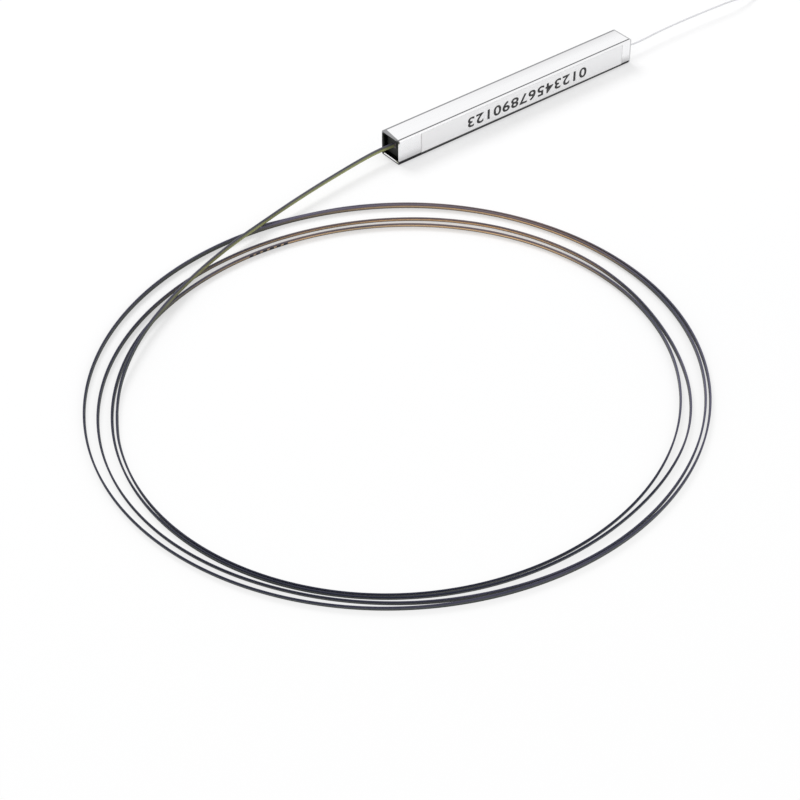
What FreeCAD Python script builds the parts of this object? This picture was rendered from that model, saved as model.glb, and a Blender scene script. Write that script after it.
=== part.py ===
import FreeCAD, Part
import math
import os
import Sketcher

# Bare-fibre 1 x 4 PLC (planar lightwave circuit) splitter: a glass chip between two fibre arrays,
# potted in a square steel tube. Four fibres leave one end as a flat ribbon, one fibre leaves the other.
# Millimetres and degrees. +X runs along the tube, from the ribbon end to the single-fibre end,
# +Z is up, and the origin is the middle of the tube's underside.
# The ribbon stands on edge, so the chip does too: its fibres are stacked in Z, and Y is the
# direction through the chip, from its glass lids (-Y) to its base (+Y).

SIZES = (
    ("tube_length", 45.0, "square steel tube"),
    ("tube_side", 4.0, "outer width and height of the tube"),
    ("tube_wall", 0.35, "wall of the tube"),
    ("tube_edge_radius", 0.22, "rounding of the tube's long outer edges"),
    ("mouth_chamfer", 0.12, "deburred inner edge at both mouths"),
    ("film_from_output", 4.0, "bare steel between the ribbon end and the marking film"),
    ("film_from_input", 1.8, "bare steel between the single-fibre end and the film"),
    ("film_inset", 0.32, "bare steel above and below the film"),
    ("film_thickness", 0.05, "marking film"),
    ("seal_recess", 0.8, "sealant lies this deep in each mouth"),
    ("seal_length", 3.0, "length of each sealant plug"),
    ("die_length", 12.0, "splitter chip at its waveguides"),
    ("die_width", 2.0, "chip along Z"),
    ("die_thickness", 1.0, "chip along Y"),
    ("core_depth", 0.02, "waveguides below the chip's face"),
    ("facet_angle", 8.0, "polish angle of every optical face"),
    ("die_lid_length", 3.5, "glass lid on each end of the chip"),
    ("die_lid_thickness", 0.9, "glass lid on the chip"),
    ("array_width", 2.5, "groove blocks and their lids along Z"),
    ("array_base_thickness", 1.2, "groove block along Y"),
    ("array_lid_thickness", 0.9, "lid over the grooves"),
    ("input_groove_length", 5.0, "grooved part of the input block"),
    ("output_groove_length", 5.5, "grooved part of the output block"),
    ("input_step_length", 2.0, "lower step behind the input groove"),
    ("output_step_length", 2.5, "lower step behind the output grooves"),
    ("groove_angle", 60.0, "angle between the walls of a V-groove"),
    ("groove_slack", 0.002, "epoxy under a seated fibre"),
    ("fibre_proud", 0.0225, "a seated fibre stands above the block by this"),
    ("step_clearance", 0.02, "coated fibres clear the step by this"),
    ("cladding_diameter", 0.125, "stripped glass fibre"),
    ("coating_diameter", 0.25, "coated single fibre"),
    ("ribbon_fibre_diameter", 0.2, "coated fibre of the ribbon, and so the pitch of its row"),
    ("strip_margin", 0.3, "stripped fibre behind a groove"),
    ("facet_gap", 0.015, "index-matching adhesive between a fibre's end and the chip"),
    ("matrix_edge", 0.025, "ribbon matrix beyond its outer fibres"),
    ("matrix_skin", 0.025, "ribbon matrix over the faces of its fibres"),
    ("ribbon_edge_radius", 0.1, "rounded edges of the ribbon"),
    ("ribbon_inside", 1.8, "ribbon between the sealant and where its fibres part"),
    ("bead_width", 1.8, "adhesive bead behind each lid, along Z"),
    ("bead_rise", 0.65, "height of a bead on the lid's end"),
    ("bead_toe", 0.12, "bead over the fibres at the end of the step"),
    ("pad_length", 4.0, "silicone pad between a groove block and the tube"),
    ("pad_width", 2.0, "silicone pad along Z"),
    ("coil_x", -53.85, "middle of the ribbon's coil"),
    ("coil_y", -40.9, "middle of the ribbon's coil"),
    ("coil_radius", 37.0, "middle of the ribbon's turns"),
    ("coil_band", 6.4, "width over the ribbon's loose turns"),
    ("crossing_length", 17.4, "ribbon that lies over the coil's turns"),
    ("hank_x", 56.0, "middle of the input fibre's coil"),
    ("hank_radius", 12.375, "middle of the input fibre's turns"),
    ("hank_band", 1.25, "width of the input fibre's coiled turns"),
    ("hank_height", 1.0, "height of the input fibre's coiled turns"),
)

FIBRE_COLOURS = ("blue", "orange", "green", "brown")

# Worked out from the sizes above, as expressions that the objects are bound to.
AXIS = "sizes.tube_side / 2"
BORE = "(sizes.tube_side - 2 * sizes.tube_wall)"
SEAL_FACE = "(sizes.tube_length / 2 - sizes.seal_recess)"
SPLIT = f"({SEAL_FACE} - sizes.seal_length - sizes.ribbon_inside)"
COATING = {"input": "sizes.coating_diameter", "output": "sizes.ribbon_fibre_diameter"}
RIBBON_WIDTH = f"({len(FIBRE_COLOURS)} * {COATING['output']} + 2 * sizes.matrix_edge)"
RIBBON_THICKNESS = f"({COATING['output']} + 2 * sizes.matrix_skin)"
RIBBON_ROUNDING = f"min(sizes.ribbon_edge_radius; 0.45 * {RIBBON_THICKNESS})"
BLOCK_TOP = "(sizes.fibre_proud - sizes.cladding_diameter / 2)"
BLOCK_BACK = f"({BLOCK_TOP} + sizes.array_base_thickness)"
STEP = {name: f"({coating} / 2 + sizes.step_clearance)" for name, coating in COATING.items()}

# Centre lines of the free fibres, chosen by hand: (x, y, z). None stands for the tube's own axis height.
RIBBON_ROUTE = ((None, 0.0, None), (-25.9, 0.0, None), (-30.6, -0.45, 1.66), (-35.4, -1.25, 1.275),
                (-40.2, -2.35, 1.275))
INPUT_ROUTE = ((None, 0.0, None), (26.2, 0.0, None), (31.2, -0.2, 1.62), (36.6, -0.05, 1.08),
               (42.0, 0.2, 0.5), (46.4, 0.6, 0.125), (50.0, 0.6, 0.125))
CORD_BEND = 0.45


def size(doc, alias):
    """A driving size as a plain number, for shapes made with Part's own functions."""
    return float(doc.getObject("sizes").get(alias))


def make_sheet(doc):
    sheet = doc.addObject("Spreadsheet::Sheet", "sizes")
    for row, (alias, number, note) in enumerate(SIZES, start=1):
        sheet.set(f"A{row}", alias)
        sheet.set(f"B{row}", str(number))
        sheet.setAlias(f"B{row}", alias)
        sheet.set(f"C{row}", note)
    doc.recompute()


def make_body(doc, label, height=AXIS):
    body = doc.addObject("PartDesign::Body", label)
    body.Label = label
    body.setExpression("Placement.Base.z", height)
    return body


def make_outline(body, name, role, corners, offset=None):
    """A closed polygon on one of the body's planes, each corner bound to its two expressions."""
    sketch = body.newObject("Sketcher::SketchObject", name)
    plane = next(item for item in body.Origin.OriginFeatures if item.Role == role)
    sketch.AttachmentSupport = (plane, [""])
    sketch.MapMode = "FlatFace"
    if offset:
        sketch.setExpression("AttachmentOffset.Base.z", offset)
    count = len(corners)
    turn = 2 * math.pi / count
    start = [FreeCAD.Vector(math.cos(turn * i), math.sin(turn * i), 0) for i in range(count)]
    for i in range(count):
        sketch.addGeometry(Part.LineSegment(start[i], start[(i + 1) % count]), False)
    for i in range(count):
        sketch.addConstraint(Sketcher.Constraint("Coincident", i, 2, (i + 1) % count, 1))
    for i, (across, up) in enumerate(corners):
        for kind, expression, value in (("DistanceX", across, start[i].x), ("DistanceY", up, start[i].y)):
            number = sketch.addConstraint(Sketcher.Constraint(kind, -1, 1, i, 1, value))
            title = f"corner_{i + 1}_{kind[-1].lower()}"
            sketch.renameConstraint(number, title)
            sketch.setExpression(f"Constraints.{title}", expression)
    return sketch


def rectangle(width, height):
    """Corners of a rectangle about the sketch's origin."""
    return ((f"-{width} / 2", f"-{height} / 2"), (f"{width} / 2", f"-{height} / 2"),
            (f"{width} / 2", f"{height} / 2"), (f"-{width} / 2", f"{height} / 2"))


def make_pad(body, sketch, length, symmetric=True):
    pad = body.newObject("PartDesign::Pad", f"{sketch.Name}_pad")
    pad.Profile = sketch
    pad.SideType = "Symmetric" if symmetric else "One side"
    pad.setExpression("Length", length)
    return pad


def make_pocket(body, sketch):
    pocket = body.newObject("PartDesign::Pocket", f"{sketch.Name}_pocket")
    pocket.Profile = sketch
    pocket.Type = "ThroughAll"
    pocket.SideType = "Symmetric"
    return pocket


def edges_of(feature, wanted):
    """Names of the feature's edges whose bounding box passes the test."""
    return [f"Edge{i}" for i, edge in enumerate(feature.Shape.Edges, start=1) if wanted(edge.BoundBox)]


def facet_x(side, depth):
    """X of the polished face on one side (+1 input, -1 output) of the chip, at a depth in Y."""
    return f"({side} * sizes.die_length / 2 + {depth} * tan(sizes.facet_angle))"


def array_x(side, *lengths):
    """X on one side of the chip, this far beyond its end."""
    beyond = "".join(f" + sizes.{length}" for length in lengths)
    return f"({side} * (sizes.die_length / 2{beyond}))"


def make_housing_tube(doc):
    body = make_body(doc, "housing_tube")
    outer = make_outline(body, "tube_outside", "YZ_Plane", rectangle("sizes.tube_side", "sizes.tube_side"))
    pad = make_pad(body, outer, "sizes.tube_length")
    doc.recompute()
    fillet = body.newObject("PartDesign::Fillet", "tube_edges")
    fillet.Base = (pad, edges_of(pad, lambda box: box.XLength > box.YLength + box.ZLength))
    fillet.setExpression("Radius", "min(sizes.tube_edge_radius; 0.9 * sizes.tube_wall)")
    inner = make_outline(body, "tube_bore", "YZ_Plane", rectangle(BORE, BORE))
    pocket = make_pocket(body, inner)
    doc.recompute()
    half_bore = size(doc, "tube_side") / 2 - size(doc, "tube_wall")
    lip = edges_of(pocket, lambda box: box.XLength < 1e-6
                   and max(abs(box.YMin), abs(box.YMax), abs(box.ZMin), abs(box.ZMax)) < half_bore + 1e-3)
    chamfer = body.newObject("PartDesign::Chamfer", "mouth_deburr")
    chamfer.Base = (pocket, lip)
    chamfer.setExpression("Size", "min(sizes.mouth_chamfer; 0.5 * sizes.tube_wall)")
    return body


def make_marking_film(doc):
    film = doc.addObject("Part::Box", "marking_film")
    film.setExpression("Length", "sizes.tube_length - sizes.film_from_output - sizes.film_from_input")
    film.setExpression("Width", "sizes.film_thickness")
    film.setExpression("Height", "sizes.tube_side - 2 * sizes.film_inset")
    film.setExpression("Placement.Base.x", "sizes.film_from_output - sizes.tube_length / 2")
    film.setExpression("Placement.Base.y", "-sizes.tube_side / 2 - sizes.film_thickness")
    film.setExpression("Placement.Base.z", "sizes.film_inset")
    return film


def make_seal(doc, label, side, core):
    """A sealant plug that fills the bore around the fibre or ribbon which passes through it."""
    block = doc.addObject("Part::Box", f"{label}_block")
    block.setExpression("Length", "sizes.seal_length")
    block.setExpression("Width", BORE)
    block.setExpression("Height", BORE)
    near = f"{SEAL_FACE} - sizes.seal_length" if side > 0 else f"-{SEAL_FACE}"
    block.setExpression("Placement.Base.x", near)
    block.setExpression("Placement.Base.y", f"-{BORE} / 2")
    block.setExpression("Placement.Base.z", "sizes.tube_wall")
    seal = doc.addObject("Part::Cut", label)
    seal.Base = block
    seal.Tool = core
    return seal


def make_die(doc):
    top = "(-sizes.core_depth)"
    back = "(sizes.die_thickness - sizes.core_depth)"
    body = make_body(doc, "plc_die")
    corners = ((facet_x(-1, top), top), (facet_x(1, top), top), (facet_x(1, back), back), (facet_x(-1, back), back))
    profile = make_outline(body, "die_profile", "XY_Plane", corners)
    make_pad(body, profile, "sizes.die_width")
    return body


def make_die_lid(doc, name, side):
    under = "(-sizes.core_depth)"
    top = "(-sizes.core_depth - sizes.die_lid_thickness)"
    rear = f"({side} * (sizes.die_length / 2 - sizes.die_lid_length))"
    body = make_body(doc, f"die_{name}_lid")
    corners = ((facet_x(side, under), under), (facet_x(side, top), top), (rear, top), (rear, under))
    profile = make_outline(body, f"die_{name}_lid_profile", "XY_Plane", corners)
    make_pad(body, profile, "sizes.die_width")
    return body


def make_groove_block(doc, name, side, grooves):
    """Glass block with one V-groove per fibre at the chip, and a lower step behind them."""
    groove_end = array_x(side, f"{name}_groove_length")
    rear = array_x(side, f"{name}_groove_length", f"{name}_step_length")
    body = make_body(doc, f"{name}_groove_block")
    corners = ((facet_x(side, BLOCK_TOP), BLOCK_TOP), (groove_end, BLOCK_TOP), (groove_end, STEP[name]),
               (rear, STEP[name]), (rear, BLOCK_BACK), (facet_x(side, BLOCK_BACK), BLOCK_BACK))
    profile = make_outline(body, f"{name}_block_profile", "XY_Plane", corners)
    blank = make_pad(body, profile, "sizes.array_width")
    apex = "(sizes.cladding_diameter / 2 / sin(sizes.groove_angle / 2) + sizes.groove_slack)"
    half = f"(({apex} - {BLOCK_TOP}) * tan(sizes.groove_angle / 2))"
    lowest = f"(-{(grooves - 1) / 2} * {COATING[name]})"
    corners = ((BLOCK_TOP, f"{lowest} - {half}"), (apex, lowest), (BLOCK_TOP, f"{lowest} + {half}"))
    groove = make_pocket(body, make_outline(body, f"{name}_groove", "YZ_Plane", corners))
    doc.recompute()
    one_groove = blank.Shape.Volume - groove.Shape.Volume
    if grooves > 1:
        row = body.newObject("PartDesign::LinearPattern", f"{name}_groove_row")
        row.Originals = [groove]
        row.Direction = (groove.Profile[0], ["V_Axis"])
        row.Occurrences = grooves
        row.setExpression("Length", f"{grooves - 1} * {COATING[name]}")
        body.Tip = row
        doc.recompute()
    cut = blank.Shape.Volume - body.Shape.Volume
    if one_groove <= 0 or cut < (grooves - 0.5) * one_groove:
        raise ValueError(f"{name}_groove_block: the grooves cut {cut:.4f} mm3, one cuts {one_groove:.4f}")
    return body


def make_array_lid(doc, name, side):
    under = "(-sizes.cladding_diameter / 2)"
    top = f"({under} - sizes.array_lid_thickness)"
    rear = array_x(side, f"{name}_groove_length")
    body = make_body(doc, f"{name}_array_lid")
    corners = ((facet_x(side, under), under), (facet_x(side, top), top), (rear, top), (rear, under))
    profile = make_outline(body, f"{name}_lid_profile", "XY_Plane", corners)
    make_pad(body, profile, "sizes.array_width")
    return body


def make_tail_bead(doc, name, side, fibres):
    """Adhesive that holds the coated fibres on the step behind the lid."""
    front = array_x(side, f"{name}_groove_length")
    rear = array_x(side, f"{name}_groove_length", f"{name}_step_length")
    shoulder = "(-sizes.cladding_diameter / 2 - sizes.bead_rise)"
    toe = f"(-{COATING[name]} / 2 - sizes.bead_toe)"
    body = make_body(doc, f"{name}_tail_bead")
    corners = ((front, STEP[name]), (front, shoulder), (rear, toe), (rear, STEP[name]))
    wedge = make_pad(body, make_outline(body, f"{name}_bead_profile", "XY_Plane", corners), "sizes.bead_width")
    row = rectangle(COATING[name], f"({fibres} * {COATING[name]})")
    make_pocket(body, make_outline(body, f"{name}_bead_slot", "YZ_Plane", row))
    doc.recompute()
    if body.Shape.Volume > 0.99 * wedge.Shape.Volume:
        raise ValueError(f"{name}_tail_bead: the slot for the fibres cut nothing")
    return body


def make_array_pad(doc, name, side):
    """Silicone bedding between the back of a groove block and the tube's wall."""
    pad = doc.addObject("Part::Box", f"{name}_array_pad")
    pad.setExpression("Length", "sizes.pad_length")
    pad.setExpression("Width", f"{BORE} / 2 - {BLOCK_BACK}")
    pad.setExpression("Height", "sizes.pad_width")
    middle = f"{side} * (sizes.die_length + sizes.{name}_groove_length + sizes.{name}_step_length) / 2"
    pad.setExpression("Placement.Base.x", f"{middle} - sizes.pad_length / 2")
    pad.setExpression("Placement.Base.y", BLOCK_BACK)
    pad.setExpression("Placement.Base.z", f"{AXIS} - sizes.pad_width / 2")
    return pad


def make_fibre(doc, label, side, name, row_place, end):
    """One fibre, stripped where it lies in its groove and coated from there to its end."""
    body = make_body(doc, label, f"{AXIS} + {row_place} * {COATING[name]}")
    tip = f"({side} * (sizes.die_length / 2 + sizes.facet_gap))"
    shoulder = array_x(side, f"{name}_groove_length", "strip_margin")
    glass = "sizes.cladding_diameter / 2"
    coating = f"{COATING[name]} / 2"
    corners = ((tip, "0"), (tip, glass), (shoulder, glass), (shoulder, coating), (end, coating), (end, "0"))
    profile = make_outline(body, f"{label}_profile", "XY_Plane", corners)
    turned = body.newObject("PartDesign::Revolution", f"{label}_turned")
    turned.Profile = profile
    turned.ReferenceAxis = (profile, ["H_Axis"])
    turned.Angle = 360
    return body


def make_ribbon_tail(doc):
    """The ribbon from where its fibres part, through the sealant, to the sealant's outer face."""
    body = make_body(doc, "ribbon_tail")
    section = make_outline(body, "ribbon_section", "YZ_Plane", rectangle(RIBBON_THICKNESS, RIBBON_WIDTH),
                           f"-{SEAL_FACE}")
    pad = make_pad(body, section, "sizes.seal_length + sizes.ribbon_inside", symmetric=False)
    doc.recompute()
    fillet = body.newObject("PartDesign::Fillet", "ribbon_edges")
    fillet.Base = (pad, edges_of(pad, lambda box: box.XLength > box.YLength + box.ZLength))
    fillet.setExpression("Radius", RIBBON_ROUNDING)
    return body


def route_points(doc, route, side):
    """The route's points; None takes the sealant's outer face in X and the tube's axis in Z."""
    face = side * (size(doc, "tube_length") / 2 - size(doc, "seal_recess"))
    axis = size(doc, "tube_side") / 2
    return [FreeCAD.Vector(face if x is None else x, y, axis if z is None else z) for x, y, z in route]


def rounded_path(points, label):
    """Straight runs joined by tangent arcs, as large as the two runs at each point allow."""
    edges = []
    radii = []
    start = points[0]
    for before, corner, after in zip(points, points[1:], points[2:]):
        arriving = (corner - before).normalize()
        leaving = (after - corner).normalize()
        half_turn = arriving.getAngle(leaving) / 2
        reach = CORD_BEND * min((corner - before).Length, (after - corner).Length)
        radii.append(reach / math.tan(half_turn))
        first = corner - arriving * reach
        last = corner + leaving * reach
        middle = corner + (leaving - arriving).normalize() * (radii[-1] / math.cos(half_turn) - radii[-1])
        edges.append(Part.LineSegment(start, first).toShape())
        edges.append(Part.Arc(first, middle, last).toShape())
        start = last
    edges.append(Part.LineSegment(start, points[-1]).toShape())
    print(label, "bend radii", [round(radius, 1) for radius in radii])
    return Part.Wire(edges)


def sweep(path, section, area, label, upright=False):
    """Sweep a section along the path, and compare the volume with area times length."""
    pipe = Part.BRepOffsetAPI.MakePipeShell(path)
    if upright:
        pipe.setBiNormalMode(FreeCAD.Vector(0, 0, 1))
    pipe.add(section)
    pipe.build()
    pipe.makeSolid()
    shape = pipe.shape()
    print(label, "length", round(path.Length, 2), "volume", round(shape.Volume, 4))
    if abs(shape.Volume - area * path.Length) > 0.01 * shape.Volume:
        raise ValueError(f"{label}: volume {shape.Volume:.4f} is not section times length")
    return shape


def make_ribbon_lead(doc, tail):
    """The ribbon between the sealant and its coil, on edge."""
    end_face = min(tail.Shape.Faces, key=lambda face: face.CenterOfMass.x)
    points = route_points(doc, RIBBON_ROUTE, -1)
    path = rounded_path(points, "ribbon_lead")
    lead = doc.addObject("Part::Feature", "ribbon_lead")
    lead.Shape = sweep(path, end_face.OuterWire, end_face.Area, "ribbon_lead", upright=True)
    return lead


def make_input_lead(doc):
    """The single fibre between the sealant and its coil."""
    points = route_points(doc, INPUT_ROUTE, 1)
    path = rounded_path(points, "input_lead")
    radius = size(doc, "coating_diameter") / 2
    circle = Part.Wire(Part.makeCircle(radius, points[0], FreeCAD.Vector(1, 0, 0)))
    lead = doc.addObject("Part::Feature", "input_lead")
    lead.Shape = sweep(path, circle, math.pi * radius ** 2, "input_lead")
    return lead


def make_ring(doc, name, height, x, y):
    """A flat ring on the surface: the outer shape of a coil's turns."""
    discs = []
    for part_name, sign in (("outside", "+"), ("inside", "-")):
        disc = doc.addObject("Part::Cylinder", f"{name}_{part_name}")
        disc.setExpression("Radius", f"sizes.{name}_radius {sign} sizes.{name}_band / 2")
        disc.setExpression("Height", height)
        disc.setExpression("Placement.Base.x", x)
        disc.setExpression("Placement.Base.y", y)
        discs.append(disc)
    ring = doc.addObject("Part::Cut", f"{name}_ring")
    ring.Base, ring.Tool = discs
    return ring


def make_ribbon_coil(doc):
    """The coil, with the stretch of ribbon that comes in over its turns from the lead's end."""
    ring = make_ring(doc, "coil", RIBBON_WIDTH, "sizes.coil_x", "sizes.coil_y")
    before, end = route_points(doc, RIBBON_ROUTE, -1)[-2:]
    heading = math.degrees(math.atan2(end.y - before.y, end.x - before.x))
    turn = FreeCAD.Rotation(FreeCAD.Vector(0, 0, 1), heading)
    crossing = doc.addObject("Part::Box", "coil_crossing")
    crossing.setExpression("Length", "sizes.crossing_length")
    crossing.setExpression("Width", RIBBON_THICKNESS)
    crossing.setExpression("Height", RIBBON_WIDTH)
    doc.recompute()
    corner = end - turn.multVec(FreeCAD.Vector(0, crossing.Width.Value / 2, 0))
    crossing.Placement = FreeCAD.Placement(FreeCAD.Vector(corner.x, corner.y, 0), turn)
    crossing.setExpression("Placement.Base.z", RIBBON_WIDTH)
    coil = doc.addObject("Part::Fuse", "ribbon_coil")
    coil.Base = ring
    coil.Tool = crossing
    return coil


def make_input_coil(doc):
    """The coil of the single fibre's put-away length, with the straight stretch that runs into it."""
    end = INPUT_ROUTE[-1]
    ring = make_ring(doc, "hank", "sizes.hank_height", "sizes.hank_x", f"{end[1]} + sizes.hank_radius")
    tail = doc.addObject("Part::Cylinder", "hank_tail")
    tail.setExpression("Radius", "sizes.coating_diameter / 2")
    tail.setExpression("Height", f"sizes.hank_x - {end[0]}")
    turn = FreeCAD.Rotation(FreeCAD.Vector(0, 1, 0), 90)
    tail.Placement = FreeCAD.Placement(FreeCAD.Vector(*end), turn)
    coil = doc.addObject("Part::Fuse", "input_coil")
    coil.Base = ring
    coil.Tool = tail
    return coil


def make_splitter(doc):
    nodes = [make_housing_tube(doc), make_marking_film(doc), make_die(doc)]
    rows = {"input": (1, 1), "output": (-1, len(FIBRE_COLOURS))}
    for name, (side, fibres) in rows.items():
        nodes.append(make_die_lid(doc, name, side))
        nodes.append(make_groove_block(doc, name, side, fibres))
        nodes.append(make_array_lid(doc, name, side))
        nodes.append(make_tail_bead(doc, name, side, fibres))
        nodes.append(make_array_pad(doc, name, side))
    for i, colour in enumerate(FIBRE_COLOURS):
        place = (len(FIBRE_COLOURS) - 1) / 2 - i
        nodes.append(make_fibre(doc, f"fibre_{colour}", -1, "output", place, f"-{SPLIT}"))
    tail = make_ribbon_tail(doc)
    fibre = make_fibre(doc, "input_fibre", 1, "input", 0, SEAL_FACE)
    nodes += [tail, fibre]
    nodes.append(make_seal(doc, "output_seal", -1, tail))
    nodes.append(make_seal(doc, "input_seal", 1, fibre))
    doc.recompute()
    nodes += [make_ribbon_lead(doc, tail), make_ribbon_coil(doc), make_input_lead(doc), make_input_coil(doc)]
    doc.recompute()
    return nodes


def check(doc, nodes):
    for item in doc.Objects:
        if "Invalid" in item.State or "Error" in item.State:
            raise ValueError(f"{item.Name} did not recompute: {item.State}")
    for node in nodes:
        if node.Shape.isNull() or not node.Shape.isValid() or len(node.Shape.Solids) != 1:
            raise ValueError(f"{node.Label} is not one valid solid")


def main():
    doc = FreeCAD.newDocument("plc_splitter")
    make_sheet(doc)
    nodes = make_splitter(doc)
    check(doc, nodes)
    os.makedirs("parts", exist_ok=True)
    for node in nodes:
        node.Shape.exportStep(f"parts/{node.Label}.step")
        print(f"{node.Label:22s} {node.Shape.Volume:10.4f} mm3")


main()
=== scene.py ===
"""Fibre splitter: the steel tube with its marking film, the four-fibre ribbon wound in loose turns
and the single fibre, with their finishes, the white floor, the lights and the camera."""

import math

import bpy
from bpy.props import (
    FloatProperty, FloatVectorProperty, IntProperty, PointerProperty, StringProperty)
from mathutils import Matrix, Vector


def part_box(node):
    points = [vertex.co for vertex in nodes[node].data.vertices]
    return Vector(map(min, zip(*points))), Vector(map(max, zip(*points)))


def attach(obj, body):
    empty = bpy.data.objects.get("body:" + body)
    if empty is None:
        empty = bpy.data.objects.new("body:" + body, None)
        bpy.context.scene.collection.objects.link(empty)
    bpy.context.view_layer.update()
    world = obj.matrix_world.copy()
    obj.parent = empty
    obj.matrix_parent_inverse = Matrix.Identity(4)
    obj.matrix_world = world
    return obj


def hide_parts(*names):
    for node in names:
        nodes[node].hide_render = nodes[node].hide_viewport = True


bl_info = {
    "name": "Fibre Splitter Finish",
    "version": (1, 0, 0),
    "blender": (4, 5, 0),
    "location": "View3D > Sidebar > Splitter",
    "description": "Dresses a ribbon fibre splitter and sets it on a white floor",
    "category": "Object",
}

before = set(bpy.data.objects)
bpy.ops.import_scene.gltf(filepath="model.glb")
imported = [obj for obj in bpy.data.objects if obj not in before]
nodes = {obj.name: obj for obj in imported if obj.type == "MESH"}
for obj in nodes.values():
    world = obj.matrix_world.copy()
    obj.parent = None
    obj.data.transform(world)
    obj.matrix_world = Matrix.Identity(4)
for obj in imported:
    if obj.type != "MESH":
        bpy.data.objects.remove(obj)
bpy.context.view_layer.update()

MM = 0.001
TUBE_LOW, TUBE_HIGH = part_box("housing_tube")
FILM_LOW, FILM_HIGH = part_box("marking_film")
TUBE_AXIS = (TUBE_LOW.z + TUBE_HIGH.z) / 2
RIBBON_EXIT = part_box("output_seal")[0].x
FIBRE_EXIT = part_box("input_seal")[1].x

# The ribbon leaves the sealant this far behind its middle, in millimetres.
EXIT_ASIDE = 0.25
# From there it comes down to the floor over the turns that it crosses, in millimetres.
RIBBON_LEAD = (
    (-24.1, 0.45, 2.0), (-28.0, 0.12, 1.93), (-31.9, -0.35, 1.82), (-35.8, -0.85, 1.70),
    (-39.6, -1.40, 1.56), (-43.4, -2.05, 1.42), (-47.1, -2.80, 1.32), (-50.4, -3.50, 1.275),
    (-54.1, -4.46, 1.275), (-59.0, -6.05, 1.275), (-63.9, -7.98, 1.275), (-68.4, -10.1, 1.275),
    (-72.5, -12.4, 1.275), (-75.8, -14.7, 1.275), (-79.1, -17.4, 1.05), (-82.1, -20.4, 0.62),
    (-85.0, -24.4, 0.43),
)
# The turns lie about this centre, with the ribbon's middle at this height, in millimetres. Running
# angles count on from turn to turn, in degrees: at the sealant, where the turns join the lead, and
# at the free end.
TURN_CENTRE, TURN_HEIGHT = (-53.85, -40.9), 0.43
LEAD_ANGLE, JOIN_ANGLE, END_ANGLE = 50.0, 161.0, 1520.0
TURN_STEP = 12.0
# Each row is one stage of the winding: the mean radius, then how far the turn is pushed off centre
# and out of round there, in millimetres. The stages are spread over a run of angle, in degrees.
TURN_STAGES = (
    (35.15, -0.85, -0.45, 0.60, 1.05),
    (36.00, -0.40, -1.55, 0.50, 0.25),
    (36.75, -0.65, -0.50, 0.95, 0.25),
    (39.30, 0.05, -0.45, 0.45, 0.25),
    (39.50, 0.10, 0.80, 0.35, -0.10),
)
STAGES_FROM, STAGES_RUN = 116.0, 3.85 * 360.0
# Places where a turn is nudged: running angle and reach in degrees, push in millimetres.
TURN_NUDGES = (
    (628, 34, -0.27), (668, 24, 0.46), (704, 24, -0.52), (753, 34, 0.27),
    (933, 30, -0.22), (988, 30, 0.22), (1124, 32, 0.21), (483, 22, 0.14),
    (980, 62, 0.17), (1342, 62, -0.11),
)
# The last of the ribbon moves over, between these angles, to lie this far outside the turn before.
BESIDE_FROM, BESIDE_RUN, BESIDE_GAP = 1440.0, 36.0, 0.42
# The ribbon leans most at this bearing and opposite. Up to the second angle, where the lead ends,
# it leans by only this share of that.
LEAN_BEARING, LEAD_ENDS, LEAD_LEAN = 231.0, 150.0, 0.35
# Where it twists upright: running angle and reach in degrees, and the share of the lean it loses.
UPRIGHT_AT = (
    (198, 36, 0.38), (558, 36, 0.38), (985, 60, 0.38), (1342, 60, 0.38), (1165, 75, 0.45),
)
# Painted light and shade on the coatings round the turns, and the side painted in their lit
# colours:
# bearing and reach in degrees, then how much.
LEAST_PAINTED_LIGHT = 0.06
PAINTED_LIGHT_SIDE, PAINTED_LIGHT_FRONT, PAINTED_SHADE_SIDE = (36, 115, 0.95), (318, 30, 0.30), (-12, 26, 0.50)
PAINTED_COLOUR_SIDE = (40, 95, 1.4)
# Painted light, and less of the lit colours, at single places: running angle and reach in degrees,
# then how much.
PAINTED_LIGHT_TWISTS, PAINTED_DULL_TWISTS = ((985, 65, 0.30), (1342, 65, 0.30)), ((1170, 75, 1.0),)
# Where the painted lit colours come and go, and where the painted light on the lead goes: the angle
# where each starts to, and over how many degrees.
PAINTED_COLOUR_COMES, PAINTED_COLOUR_GOES, LEAD_LIGHT_GOES = (-15.0, 35.0), (1482.0, 30.0), (82.0, 50.0)
# Each tone of the four coatings, from the ribbon's bottom edge up, and of the gaps between them:
# painted in shade, painted lit but dull, and painted lit on the lead.
SHADED_TONE = (
    (0.014, 0.016, 0.012), (0.018, 0.040, 0.036), (0.018, 0.024, 0.026), (0.013, 0.016, 0.034),
    (0.006, 0.006, 0.007),
)
DULL_LIT_TONE = (
    (0.100, 0.096, 0.070), (0.105, 0.108, 0.105), (0.120, 0.120, 0.125), (0.150, 0.145, 0.215),
    (0.06, 0.06, 0.065),
)
LEAD_LIT_TONE = (
    (0.35, 0.36, 0.17), (0.31, 0.34, 0.14), (0.20, 0.21, 0.12), (0.095, 0.095, 0.125),
    (0.20, 0.22, 0.12),
)
WARM_GAP = (0.03, 0.03, 0.035)
# Short printed bars on the inner turn: lengths along the ribbon in metres, and shares of the pitch
# and of the width.
MARKS_START, MARKS_END, MARKS_PITCH = 0.2490, 0.2554, 0.00107
MARK_LENGTH, MARK_WIDTH = 0.62, 0.86
MARK_INK = (0.006, 0.005, 0.008)

# The single fibre from the sealant down to the floor, in millimetres.
FIBRE_LEAD = (
    (24.3, -0.36, 1.60), (27.5, -0.20, 1.55), (30.7, 0.0, 1.60), (36.8, -0.02, 1.62),
    (41.5, -0.18, 1.60), (46.0, -0.38, 1.60), (49.0, -0.25, 1.05), (51.5, -0.08, 0.45),
    (53.7, 0.06, 0.145),
)
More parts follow.
